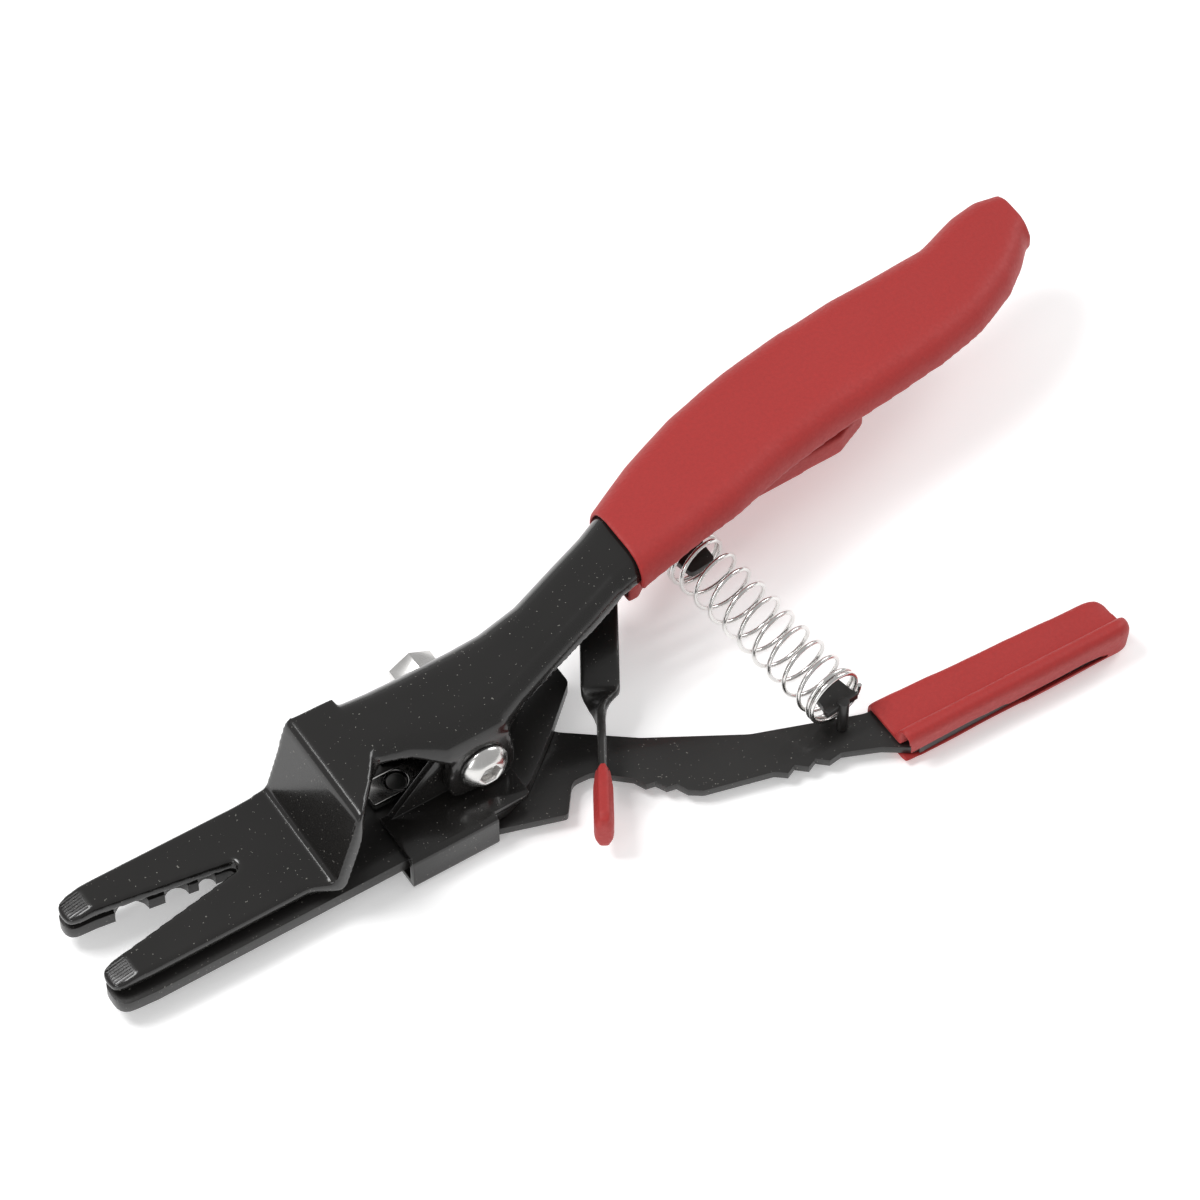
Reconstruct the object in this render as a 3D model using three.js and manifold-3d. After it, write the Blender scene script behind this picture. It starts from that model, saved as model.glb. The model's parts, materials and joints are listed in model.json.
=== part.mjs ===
// Hose-removal (spreader) pliers: two stacked forked jaws, a pressed-steel upper handle, a flat
// lower lever, a return spring and a folding handle latch.
// Millimetres. +X runs from the jaws to the handles, +Y to the far side, +Z up.
// Sizes are measured from the pivot screw and the upper fork's top face, and the whole group is
// then set down with its origin in the middle of the side clip's flat underside.

import * as THREE from 'three';
import * as BufferGeometryUtils from 'three/addons/utils/BufferGeometryUtils.js';
import Module from 'manifold-3d';

const wasm = await Module();
wasm.setup();

// ---------------------------------------------------------------- driving dimensions

const SHEET = 3.0;             // upper body and lower jaw plate
const BRACKET_SHEET = 1.5;     // side brackets
const LEVER_SHEET = 2.0;       // lever, link and latch strip
const GRIP_SKIN = 1.5;         // dipped PVC
const FIT = 0.3;               // clearance round anything that turns or slides
const SEAT = 0.15;             // clearance between faces that rest on each other

const JAW_REACH = 86;          // fork tips to the pivot screw
const FORK_WIDTH = 25.2;
const FORK_CENTRE_Y = 1.3;
const PRONG_TIP_R = 3.3;
const SLOT_APEX_X = -51.5;
const SLOT_MOUTH = 13.6;       // across the V at the tips
const JAW_GAP = 1.7;           // between the two closed forks
const LOWER_TAIL_X = 29.0;     // where the lower jaw plate ends behind the pivot
const LOWER_EXTRA_WIDTH = 2.0; // the lower plate is this much wider on the near side
const SCALLOPS = [[-72.6, 3.6, 5.0], [-63.2, 2.5, 3.9], [-56.8, 1.8, 3.2]]; // x, radius, offset each side
const RAMP_FOOT_X = -37.5;     // where the upper fork folds up
const RAMP_RUN = 6.0;
const DECK_RISE = 18.0;        // fork top to deck top

const SCREW_R = 3.0;
const SCREW_RISE = 5.2;        // screw axis above the upper fork's top face
const HEAD_R = 5.25;
const HEAD_RISE = 3.3;
const NUT_R = 5.6;
const NUT_HEIGHT = 4.85;
const WASHER_SHEET = 1.0;
const BUSH_R = 4.2;
const LUG_R = 7.5;
const LUG_NEAR_Y = -7.7;       // outer face of the near lug
const LUG_FAR_Y = 13.9;        // outer face of the far lug

const HANDLE_LENGTH = 165;     // pivot screw to the end of the upper handle
const GRIP_START_X = 47;
const HANDLE_HEIGHT = 15;      // across the handle channel's flanges

const CLIP_FRONT_X = -21.3;
const CLIP_REAR_X = -1.3;
const CLIP_NEAR_Y = -15.7;
const LIP_DEPTH = 6.5;         // clip lip under the plates
const BRACKET_REAR_X = 7.2;
const FAR_BRACKET_REAR_X = 4.6;
const LEVER_GAP = 0.45;        // lower jaw plate to lever
const LEVER_LENGTH = 132;      // pivot screw to the end of the lever
const LEVER_FLANGE_RISE = 6.5; // folded edge under the lower grip
const LEVER_FLANGE_X = 81.0;
const LEVER_FLANGE_Y = -44.0;  // outer face of the folded edge
const LEVER_GRIP_X = 77.5;     // front end of the lower grip

const FULCRUM_X = 8.5;
const DRIVE_Y = 2.0;
const CRANK = 5.2;             // fulcrum to drive pin
const FULCRUM_PIN_R = 1.6;
const SPACER_R = 2.4;
const DRIVE_PIN_R = 1.5;
const POST_X = -13.9;
const POST_Y = 2.9;
const POST_R = 2.2;
const LINK_WIDTH = 5.8;
const LINK_TAIL_WIDTH = 4.8;

const SPRING_R = 6.1;          // to the middle of the wire
const SPRING_WIRE_R = 0.5;
const SPRING_COILS = 13;
const CLOSED_COILS = 1.5;      // at each end
const SPRING_Z = -1.0;
const SPRING_TOP = [66.0, 17.6];
const SPRING_FOOT = [70.4, -29.2];

const LATCH_X = 43.2;
const LATCH_Y = 17.2;
const LATCH_LENGTH = 55.5;
const LATCH_WIDTH = 8.0;
const LATCH_SHEET = 1.8;
const LATCH_TIP_LENGTH = 15;
const LATCH_HEADING = -121.5;  // degrees from +X
const LATCH_RIVET_R = 2.0;

// ---------------------------------------------------------------- levels, from the fork's top face

const DECK_Z = DECK_RISE;
const LOWER_TOP = -SHEET - JAW_GAP;
const LOWER_BOTTOM = LOWER_TOP - SHEET;
const LEVER_TOP = LOWER_BOTTOM - LEVER_GAP;
const LEVER_BOTTOM = LEVER_TOP - LEVER_SHEET;
const FOOT_BOTTOM = LOWER_TOP + SEAT;
const FOOT_TOP = FOOT_BOTTOM + BRACKET_SHEET;
const LIP_TOP = LEVER_BOTTOM - FIT;
const REST_Z = LIP_TOP - BRACKET_SHEET;
const LINK_BOTTOM = LOWER_TOP + FIT;
const LINK_TOP = LINK_BOTTOM + LEVER_SHEET;
const HANDLE_BOTTOM = DECK_Z - HANDLE_HEIGHT;
const FULCRUM_Y = DRIVE_Y + CRANK;

// ---------------------------------------------------------------- finishes

const blackPaint = { color: 0x1c1a19, roughness: 0.25, metalness: 0.1 };
const satinBlack = { color: 0x232120, roughness: 0.45, metalness: 0.1 };
const redVinyl = { color: 0xb2322f, roughness: 0.6, metalness: 0.0 };
const brightZinc = { color: 0xc8cacc, roughness: 0.25, metalness: 1.0 };
const darkSteel = { color: 0x4a4742, roughness: 0.5, metalness: 0.9 };

// ---------------------------------------------------------------- helpers

function solid(geometry) {
  const bare = geometry.index ? geometry.toNonIndexed() : geometry.clone();
  bare.deleteAttribute('normal');
  bare.deleteAttribute('uv');
  const merged = BufferGeometryUtils.mergeVertices(bare, 1e-4);
  return new wasm.Manifold(new wasm.Mesh({
    numProp: 3,
    vertProperties: new Float32Array(merged.attributes.position.array),
    triVerts: new Uint32Array(merged.index.array),
  }));
}

// A closed outline whose corners [x, y, r] are rounded by r, or by what their sides leave room for.
function outline(corners) {
  const shape = new THREE.Shape();
  const count = corners.length;
  corners.forEach(([x, y, r = 0], i) => {
    const here = new THREE.Vector2(x, y);
    const [px, py] = corners[(i + count - 1) % count];
    const [nx, ny] = corners[(i + 1) % count];
    const back = new THREE.Vector2(px, py).sub(here);
    const ahead = new THREE.Vector2(nx, ny).sub(here);
    const room = 0.49 * Math.min(back.length(), ahead.length());
    back.normalize();
    ahead.normalize();
    const half = Math.acos(THREE.MathUtils.clamp(back.dot(ahead), -1, 1)) / 2;
    const reach = r > 0 ? Math.min(r / Math.tan(half), room) : 0;
    const start = here.clone().addScaledVector(back, reach);
    if (i === 0) shape.moveTo(start.x, start.y);
    else shape.lineTo(start.x, start.y);
    if (r > 0) {
      const end = here.clone().addScaledVector(ahead, reach);
      shape.quadraticCurveTo(x, y, end.x, end.y);
    }
  });
  shape.closePath();
  return shape;
}

function extrude(shape, depth, segments = 5) {
  return new THREE.ExtrudeGeometry(shape, { depth, bevelEnabled: false, curveSegments: segments });
}

// An (x, y) outline between two heights.
function plate(shape, low, high, segments) {
  return solid(extrude(shape, high - low, segments).translate(0, 0, low));
}

// An (x, z) outline between two y values.
function wall(shape, low, high, segments) {
  const geometry = extrude(shape, high - low, segments);
  return solid(geometry.rotateX(Math.PI / 2).translate(0, high, 0));
}

// A (y, z) outline between two x values.
function rail(shape, low, high, segments) {
  const turn = new THREE.Matrix4().makeBasis(
    new THREE.Vector3(0, 1, 0), new THREE.Vector3(0, 0, 1), new THREE.Vector3(1, 0, 0));
  return solid(extrude(shape, high - low, segments).applyMatrix4(turn).translate(low, 0, 0));
}

function upright(radius, x, y, low, high, sides = 24) {
  const geometry = new THREE.CylinderGeometry(radius, radius, high - low, sides);
  return solid(geometry.rotateX(Math.PI / 2).translate(x, y, (low + high) / 2));
}

function crossRod(radius, x, z, low, high, sides = 24) {
  const geometry = new THREE.CylinderGeometry(radius, radius, high - low, sides);
  return solid(geometry.translate(x, (low + high) / 2, z));
}

function volume(points, index) {
  const corner = (i) => new THREE.Vector3().fromArray(points, index[i] * 3);
  let sum = 0;
  for (let i = 0; i < index.length; i += 3) {
    sum += corner(i).dot(corner(i + 1).cross(corner(i + 2))) / 6;
  }
  return sum;
}

// Skins a list of closed rings of equal length and caps both ends.
function loft(rings) {
  const size = rings[0].length;
  const points = rings.flat().flatMap((p) => [p.x, p.y, p.z]);
  const index = [];
  for (let i = 0; i + 1 < rings.length; i += 1) {
    for (let j = 0; j < size; j += 1) {
      const a = i * size + j;
      const b = i * size + ((j + 1) % size);
      index.push(a, b, a + size, b, b + size, a + size);
    }
  }
  const cap = (base, flip) => {
    const half = size / 2;
    for (let j = 0; j + 1 < half; j += 1) {
      const quad = [base + j, base + j + 1, base + size - 2 - j, base + size - 1 - j];
      const order = flip ? [0, 2, 1, 0, 3, 2] : [0, 1, 2, 0, 2, 3];
      order.forEach((k) => index.push(quad[k]));
    }
  };
  cap(0, true);
  cap((rings.length - 1) * size, false);
  if (volume(points, index) < 0) index.reverse();
  const geometry = new THREE.BufferGeometry();
  geometry.setAttribute('position', new THREE.Float32BufferAttribute(points, 3));
  geometry.setIndex(index);
  return solid(geometry);
}

// ---------------------------------------------------------------- upper body

const TAPER = HANDLE_HEIGHT / 15; // the channel gets shallower towards its end
// Handle stations: x, near edge y, far face y, near lip z, far wall bottom z, bottom flange width,
// near corner radius, far corner radius.
const HANDLE = [
  [-32.0, -10.6, 14.4, DECK_Z - 3.6, DECK_Z - 4.0, 0, 3.1, 3.2],
  [-26.0, -7.0, 14.0, DECK_Z - 3.6, DECK_Z - 5.0, 0, 3.2, 3.6],
  [-20.0, -2.6, 13.9, DECK_Z - 4.0, DECK_Z - 8.0, 0, 3.4, 4.6],
  [-14.0, -4.0, 13.9, DECK_Z - 5.0, DECK_Z - 12.0, 0, 4.4, 5.6],
  [-7.5, LUG_NEAR_Y, LUG_FAR_Y, 10.0, HANDLE_BOTTOM + 1, 0, 6.0, 6.0],
  [5.0, LUG_NEAR_Y, LUG_FAR_Y, 10.0, HANDLE_BOTTOM, 0, 6.0, 6.0],
  [12.0, -4.6, 14.2, 12.4, HANDLE_BOTTOM, 0, 5.2, 6.0],
  [22.0, -0.9, 16.2, 12.6, HANDLE_BOTTOM, 0, 5.0, 6.0],
  [34.0, 3.4, 20.8, 12.6, HANDLE_BOTTOM, 5.2, 5.0, 6.0],
  [42.0, 6.6, 23.6, 12.8, HANDLE_BOTTOM, 10.6, 5.0, 5.6],
  [50.0, 8.6, 27.2, 13.2, HANDLE_BOTTOM, 13.8, 4.6, 5.2],
  [60.0, 10.6, 32.4, 13.6, HANDLE_BOTTOM, 11.0, 4.2, 5.0],
  [74.0, 13.2, 38.0, 13.6, HANDLE_BOTTOM, 16.4, 4.2, 5.0],
  [90.0, 17.5, 42.2, 13.6, HANDLE_BOTTOM, 20.4, 4.2, 5.0],
  [106.0, 20.2, 44.9, 13.6, HANDLE_BOTTOM, 22.5, 4.2, 5.0],
  [114.0, 21.0, 45.6, 13.6, HANDLE_BOTTOM, 19.6, 4.2, 5.0],
  [120.0, 21.7, 46.2, 13.6, HANDLE_BOTTOM + 0.6 * TAPER, 6.2, 4.2, 5.0],
  [132.0, 23.2, 46.8, 13.6, HANDLE_BOTTOM + 2.0 * TAPER, 5.0, 4.2, 5.0],
  [144.0, 26.0, 47.6, 13.6, HANDLE_BOTTOM + 3.0 * TAPER, 5.0, 4.2, 5.0],
  [155.0, 31.0, 51.4, 13.6, HANDLE_BOTTOM + 4.0 * TAPER, 5.0, 4.2, 5.0],
  [161.0, 35.6, 52.2, 13.6, HANDLE_BOTTOM + 5.0 * TAPER, 5.0, 4.2, 4.6],
  [HANDLE_LENGTH, 39.6, 50.9, 13.6, HANDLE_BOTTOM + 5.6 * TAPER, 5.0, 3.8, 3.8],
];

const handleStations = new THREE.LinearInterpolant(
  HANDLE.map((row) => row[0]), HANDLE.flatMap((row) => row.slice(1)), HANDLE[0].length - 1);

const TIGHT_R = 0.3;           // smallest inside bend
const GRIP_STATIONS = [66, 82, 98, 150, 158];

// The C-shaped section at x. grow thickens the sheet on both faces.
function handleRing(x, grow) {
  const [near, far, lip, bottom, width, rNear, rFar] = handleStations.evaluate(x);
  const inset = SHEET + grow;
  const rFoot = Math.min(3.4, Math.max(0.5, DECK_Z - rFar - bottom));
  const outer = [[near - grow, lip - grow]];
  const inner = [[near + inset, lip - grow]];
  const bend = (y, z, inY, inZ, r, from, steps) => {
    const inside = Math.max(r - inset, TIGHT_R);
    for (let i = 0; i <= steps; i += 1) {
      const angle = THREE.MathUtils.degToRad(from - (90 * i) / steps);
      const c = Math.cos(angle);
      const k = Math.sin(angle);
      outer.push([y + inY * r + (r + grow) * c, z + inZ * r + (r + grow) * k]);
      inner.push([y + inY * (inset + inside) + inside * c, z + inZ * (inset + inside) + inside * k]);
    }
  };
  bend(near, DECK_Z, 1, -1, rNear, 180, 4);
  bend(far, DECK_Z, -1, -1, rFar, 90, 5);
  bend(far, bottom, -1, 1, rFoot, 0, 3);
  const foot = far - Math.max(width, inset + Math.max(rFoot - inset, TIGHT_R) + 0.05, rFoot + 0.05);
  outer.push([foot - grow, bottom - grow]);
  inner.push([foot - grow, bottom + inset]);
  return [...outer, ...inner.reverse()].map(([y, z]) => new THREE.Vector3(x, y, z));
}

function handleShell(xs, grow) {
  return loft(xs.map((x) => handleRing(x, grow)));
}

function spaced(from, to, step) {
  const count = Math.round((to - from) / step);
  return Array.from({ length: count + 1 }, (_, i) => from + ((to - from) * i) / count);
}

function between(from, to) {
  return HANDLE.map((row) => row[0]).filter((x) => x > from && x < to);
}

// The side view of the folded sheet: fork, ramp, deck.
function rampProfile(deckEnd) {
  const foot = RAMP_FOOT_X;
  const head = foot + RAMP_RUN;
  const slope = Math.hypot(RAMP_RUN, DECK_Z) / DECK_Z;
  const lead = SHEET * slope;
  const back = (SHEET / DECK_Z) * RAMP_RUN;
  return outline([
    [-JAW_REACH, 0], [-JAW_REACH, -SHEET], [foot + lead - back, -SHEET, 2.6],
    [head + lead - back, DECK_Z - SHEET, 0.8], [deckEnd, DECK_Z - SHEET], [deckEnd, DECK_Z],
    [head, DECK_Z, 2.4], [foot, 0, 1.0],
  ]);
}

function forkPlan(halfNear, halfFar, rear, apexX, apexHalf, mouth) {
  const tip = PRONG_TIP_R;
  const c = FORK_CENTRE_Y;
  const front = -JAW_REACH;
  return [
    [front, c - halfNear + 0.6, tip], [front + 8, c - halfNear, 6], ...rear(c - halfNear, c + halfFar),
    [front + 8, c + halfFar, 6], [front, c + halfFar - 0.6, tip],
    [front, c + mouth / 2 - 0.6, tip - 0.4], [front + 6, c + mouth / 2 - 1.0, 1.5],
    [apexX, c + apexHalf, apexHalf * 0.8], [apexX, c - apexHalf, apexHalf * 0.8],
    [front + 6, c - mouth / 2 + 1.0, 1.5], [front, c - mouth / 2 + 0.6, tip - 0.4],
  ];
}

function makeUpperBody() {
  const half = FORK_WIDTH / 2;
  const plan = outline(forkPlan(half, half, (near, far) => [
    [-42.0, near, 5], [-36.5, near - 2.6, 3], [-31.0, near - 2.6, 3], [-25.5, -7.6, 4],
    [-22.0, -3.0, 3], [-21.0, 14.0], [-32.0, far + 0.7, 6], [-45.0, far - 0.3, 8],
  ], SLOT_APEX_X, 1.1, SLOT_MOUTH));
  const sheet = wall(rampProfile(-20.0), -20, 20).intersect(plate(plan, -10, 40));
  const xs = [
    -30, ...between(-30.1, HANDLE_LENGTH), HANDLE_LENGTH, -23, -17, -11, 0, 28, 38, ...GRIP_STATIONS,
  ].sort((a, b) => a - b);
  const shell = handleShell(xs, 0);
  const lugShape = outline([
    [-LUG_R, SCREW_RISE, 0], [-LUG_R, SCREW_RISE - LUG_R, LUG_R * 0.98],
    [LUG_R, SCREW_RISE - LUG_R, LUG_R * 0.98], [LUG_R, SCREW_RISE, 0],
    [LUG_R - 1.0, DECK_Z - 6.0, 0], [-LUG_R + 1.0, DECK_Z - 6.0, 0],
  ]);
  const nearLug = wall(lugShape, LUG_NEAR_Y, LUG_NEAR_Y + SHEET, 8);
  const farLug = wall(lugShape, LUG_FAR_Y - SHEET, LUG_FAR_Y, 8);
  const bore = crossRod(SCREW_R + FIT, 0, SCREW_RISE, LUG_NEAR_Y - 5, LUG_FAR_Y + 5);
  const latchHole = upright(LATCH_RIVET_R + SEAT, LATCH_X, LATCH_Y, HANDLE_BOTTOM - 1,
    HANDLE_BOTTOM + SHEET + 1, 16);
  return sheet.add(shell).add(nearLug).add(farLug).subtract(bore).subtract(latchHole);
}

function makeUpperGrip() {
  const xs = [
    GRIP_START_X, ...between(GRIP_START_X, HANDLE_LENGTH), 54, ...GRIP_STATIONS, HANDLE_LENGTH,
  ].sort((a, b) => a - b);
  const skinned = (stations, grow) => {
    const end = handleRing(HANDLE_LENGTH, grow).map((p) => p.clone().setX(HANDLE_LENGTH + grow));
    return loft([...stations.map((x) => handleRing(x, grow)), end]);
  };
  return skinned(xs, GRIP_SKIN).subtract(skinned([GRIP_START_X - 5, ...xs], SEAT));
}

// ---------------------------------------------------------------- lower jaw

function makeLowerPlate() {
  const half = FORK_WIDTH / 2;
  const plan = outline(forkPlan(half + LOWER_EXTRA_WIDTH, half, (near, far) => [
    [2.0, near, 5], [9.0, near + 2.6, 6], [20.0, -1.8, 20], [LOWER_TAIL_X, 6.2, 2],
    [LOWER_TAIL_X, far - 0.5, 3],
  ], SLOT_APEX_X, 2.2, SLOT_MOUTH + 1.0));
  let jaw = plate(plan, LOWER_BOTTOM, LOWER_TOP);
  SCALLOPS.forEach(([x, r, y]) => {
    [-1, 1].forEach((side) => {
      jaw = jaw.subtract(upright(r, x, FORK_CENTRE_Y + side * y, LOWER_BOTTOM - 1, LOWER_TOP + 1, 16));
    });
  });
  const window = outline([
    [FULCRUM_X - SPACER_R - 2.1, DRIVE_Y - DRIVE_PIN_R - 0.6, 1.4],
    [FULCRUM_X + SPACER_R + 0.8, DRIVE_Y - DRIVE_PIN_R - 0.6, 1.4],
    [FULCRUM_X + SPACER_R + 0.8, FULCRUM_Y + SPACER_R + 0.6, 1.4],
    [FULCRUM_X - SPACER_R - 2.1, FULCRUM_Y + SPACER_R + 0.6, 1.4],
  ]);
  const postHole = upright(POST_R + SEAT, POST_X, POST_Y, LOWER_BOTTOM - 1, LOWER_TOP + 1);
  return jaw.subtract(plate(window, LOWER_BOTTOM - 1, LOWER_TOP + 1)).subtract(postHole);
}

function flangeShape(frontX, rearX) {
  return outline([
    [frontX, FOOT_BOTTOM], [rearX, FOOT_BOTTOM], [rearX, SCREW_RISE + 1, 2],
    [rearX - 2.0, SCREW_RISE + 5.6, 3], [-3.0, SCREW_RISE + 7.0, 3], [-8.0, SCREW_RISE + 4.3, 1],
    [frontX, FOOT_TOP],
  ]);
}

function makeSideBracket() {
  const flangeNear = LUG_NEAR_Y + SHEET + FIT;
  const inner = flangeNear + BRACKET_SHEET;
  const near = CLIP_NEAR_Y;
  const t = BRACKET_SHEET;
  const clip = outline([
    [inner, FOOT_BOTTOM], [near + t, FOOT_BOTTOM, 0.4], [near + t, LIP_TOP, 0.4], [near + LIP_DEPTH, LIP_TOP],
    [near + LIP_DEPTH, REST_Z], [near, REST_Z, 1.2], [near, FOOT_TOP, 1.4], [inner, FOOT_TOP],
  ]);
  const foot = outline([
    [CLIP_REAR_X - 0.5, inner], [CLIP_REAR_X - 0.5, near + 1.9], [BRACKET_REAR_X, near + 1.9, 1.0],
    [BRACKET_REAR_X, inner],
  ]);
  return rail(clip, CLIP_FRONT_X, CLIP_REAR_X)
    .add(plate(foot, FOOT_BOTTOM, FOOT_TOP))
    .add(wall(flangeShape(-19.4, BRACKET_REAR_X), flangeNear, inner))
    .subtract(crossRod(SCREW_R + FIT, 0, SCREW_RISE, flangeNear - 2, inner + 2));
}

function makeFarBracket() {
  const outer = LUG_FAR_Y - SHEET - 2 * FIT;
  const inner = outer - BRACKET_SHEET;
  const front = -14.0;
  const foot = outline([
    [front, inner], [FAR_BRACKET_REAR_X, inner], [FAR_BRACKET_REAR_X, outer + 2.6, 1], [front, outer + 2.6, 1],
  ]);
  return wall(flangeShape(front, FAR_BRACKET_REAR_X), inner, outer)
    .add(plate(foot, FOOT_BOTTOM, FOOT_TOP))
    .subtract(crossRod(SCREW_R + FIT, 0, SCREW_RISE, inner - 2, outer + 2));
}

// ---------------------------------------------------------------- pivot hardware

function makeScrew() {
  const length = LUG_FAR_Y - LUG_NEAR_Y + 7.5;
  const profile = [
    new THREE.Vector2(0, -length), new THREE.Vector2(SCREW_R - 0.4, -length),
    new THREE.Vector2(SCREW_R, -length + 0.5), new THREE.Vector2(SCREW_R, 0), new THREE.Vector2(HEAD_R, 0),
    new THREE.Vector2(HEAD_R, 0.6), new THREE.Vector2(HEAD_R * 0.93, 1.5),
    new THREE.Vector2(HEAD_R * 0.75, 2.5), new THREE.Vector2(HEAD_R * 0.45, 3.15),
    new THREE.Vector2(0, HEAD_RISE),
  ];
  const lathe = new THREE.LatheGeometry(profile, 28);
  const screw = solid(lathe.rotateX(Math.PI).translate(0, LUG_NEAR_Y - SEAT, SCREW_RISE));
  const socket = new THREE.CylinderGeometry(2.3, 2.3, 4, 6);
  socket.translate(0, LUG_NEAR_Y - HEAD_RISE - 0.2, SCREW_RISE);
  return screw.subtract(solid(socket));
}

function ringAcross(outer, low, high, sides) {
  const hole = crossRod(SCREW_R + SEAT, 0, SCREW_RISE, low - 1, high + 1);
  return crossRod(outer, 0, SCREW_RISE, low, high, sides).subtract(hole);
}

// ---------------------------------------------------------------- lever

function leverPlan() {
  const reach = LEVER_LENGTH;
  return outline([
    [-2.4, -13.4, 0.6], [-0.9, -13.6], [-0.9, -14.9], [12.6, -19.3, 1], [17.6, -12.9, 3], [22.0, -13.2, 2],
    [28.4, -19.0], [29.6, -21.6], [31.6, -22.0], [32.8, -24.4], [34.8, -24.8], [36.0, -27.4],
    [38.6, -29.2, 2], [53.0, -33.0, 2], [55.2, -34.8], [57.4, -33.8], [59.6, -35.8], [61.8, -34.8],
    [64.0, -36.8], [67.0, -36.4, 1],
    [74.5, -39.6, 3], [80.0, -43.4, 3], [reach, -44.6, 3], [reach, -34.6, 4], [108.0, -32.4, 10],
    [76.5, -31.0, 8], [54.0, -22.6, 12], [35.0, -11.4, 12], [21.0, -0.6, 6], [16.5, 11.5, 6], [8.0, 14.0, 5],
    [-0.5, 11.5, 4], [-2.4, 4.0, 3],
  ]);
}

function makeLeverPlate() {
  const flange = outline([
    [LEVER_FLANGE_X, LEVER_BOTTOM], [LEVER_LENGTH - 2, LEVER_BOTTOM],
    [LEVER_LENGTH - 2, LEVER_BOTTOM + LEVER_FLANGE_RISE, 3],
    [LEVER_FLANGE_X, LEVER_BOTTOM + LEVER_FLANGE_RISE, 3],
  ]);
  return plate(leverPlan(), LEVER_BOTTOM, LEVER_TOP)
    .add(wall(flange, LEVER_FLANGE_Y, LEVER_FLANGE_Y + LEVER_SHEET))
    .subtract(upright(FULCRUM_PIN_R + FIT, FULCRUM_X, FULCRUM_Y, LEVER_BOTTOM - 1, LEVER_TOP + 1))
    .subtract(upright(DRIVE_PIN_R + SEAT, FULCRUM_X, DRIVE_Y, LEVER_BOTTOM - 1, LEVER_TOP + 1));
}

// Lower grip section: a flat bar along the plate and a taller bead round the folded edge.
function leverGripRing(x, inset) {
  const near = -44.9 - 0.02 * (x - 80);
  const far = -29.4 - 0.055 * (x - 80);
  const low = LEVER_BOTTOM - GRIP_SKIN;
  const flat = LEVER_TOP + GRIP_SKIN;
  const top = LEVER_BOTTOM + LEVER_FLANGE_RISE + GRIP_SKIN;
  const middleY = (near + far) / 2;
  const middleZ = (low + flat) / 2;
  const ring = [
    [near, top - 1.6], [near + 1.0, top - 0.3], [near + 2.2, top], [near + 3.4, top - 0.3],
    [near + 4.4, top - 1.6], [near + 4.6, flat + 0.6], [near + 5.4, flat], [far - 1.6, flat],
    [far - 0.4, flat - 0.6], [far, middleZ], [far - 0.4, low + 0.6], [far - 1.6, low], [near + 2.0, low],
    [near + 0.5, low + 0.6],
  ];
  return ring.map(([y, z]) => new THREE.Vector3(x, y + (middleY - y) * inset, z + (middleZ - z) * inset));
}

function makeLeverGrip() {
  const start = LEVER_GRIP_X;
  const end = LEVER_LENGTH + GRIP_SKIN;
  const stations = [
    [start, 0.05], [start + 1, 0], [95, 0], [115, 0], [end - 3, 0], [end - 1, 0.1], [end, 0.35],
  ];
  const body = loft(stations.map(([x, inset]) => leverGripRing(x, inset)));
  const grown = plate(outline([
    [70, -45.0], [LEVER_LENGTH + SEAT, -45.0, 3], [LEVER_LENGTH + SEAT, -34.4, 4], [108.0, -32.2, 10],
    [76.5, -30.8], [70, -30.0],
  ]), LEVER_BOTTOM - SEAT, LEVER_TOP + SEAT);
  const grownFlange = wall(outline([
    [70, LEVER_BOTTOM - SEAT], [LEVER_LENGTH - 2 + SEAT, LEVER_BOTTOM - SEAT],
    [LEVER_LENGTH - 2 + SEAT, LEVER_BOTTOM + LEVER_FLANGE_RISE + SEAT, 3],
    [70, LEVER_BOTTOM + LEVER_FLANGE_RISE + SEAT],
  ]), LEVER_FLANGE_Y - SEAT, LEVER_FLANGE_Y + LEVER_SHEET + SEAT);
  return body.subtract(grown).subtract(grownFlange);
}

// ---------------------------------------------------------------- linkage

function makeLink() {
  const half = LINK_WIDTH / 2;
  const tail = LINK_TAIL_WIDTH / 2;
  const front = POST_X - 6.8;
  const shape = outline([
    [front, POST_Y - half, 0.6], [FULCRUM_X + tail, DRIVE_Y - tail, tail * 0.9],
    [FULCRUM_X + tail, DRIVE_Y + tail, tail * 0.9], [POST_X + 6, POST_Y + half, 3],
    [front, POST_Y + half, 0.6],
  ]);
  return plate(shape, LINK_BOTTOM, LINK_TOP)
    .subtract(upright(POST_R + FIT, POST_X, POST_Y, LINK_BOTTOM - 1, LINK_TOP + 1))
    .subtract(upright(DRIVE_PIN_R + 0.45, FULCRUM_X, DRIVE_Y, LINK_BOTTOM - 1, LINK_TOP + 1, 16));
}

function makeBridge() {
  const wallFace = LUG_FAR_Y - SHEET - 2 * FIT;
  const shape = outline([
    [FULCRUM_Y - 5.0, 0], [wallFace, 0], [wallFace, 8.0, 0.5], [wallFace - 1.8, 8.0, 0.5],
    [wallFace - 1.8, 1.8, 1], [FULCRUM_Y - 5.0, 1.8],
  ]);
  return rail(shape, FULCRUM_X - SPACER_R - 0.5, FULCRUM_X + 7.0)
    .subtract(upright(FULCRUM_PIN_R + SEAT, FULCRUM_X, FULCRUM_Y, -1, 3));
}

function makeFulcrumPin() {
  const head = upright(SPACER_R + 0.4, FULCRUM_X, FULCRUM_Y, LEVER_BOTTOM - SEAT - 1.1, LEVER_BOTTOM - SEAT);
  return upright(FULCRUM_PIN_R, FULCRUM_X, FULCRUM_Y, LEVER_BOTTOM - SEAT - 0.5, 2.4).add(head);
}

function makeFulcrumSpacer() {
  const low = LEVER_TOP + SEAT;
  return upright(SPACER_R, FULCRUM_X, FULCRUM_Y, low, -SEAT)
    .subtract(upright(FULCRUM_PIN_R + SEAT, FULCRUM_X, FULCRUM_Y, low - 1, 1));
}

// ---------------------------------------------------------------- return spring

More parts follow.
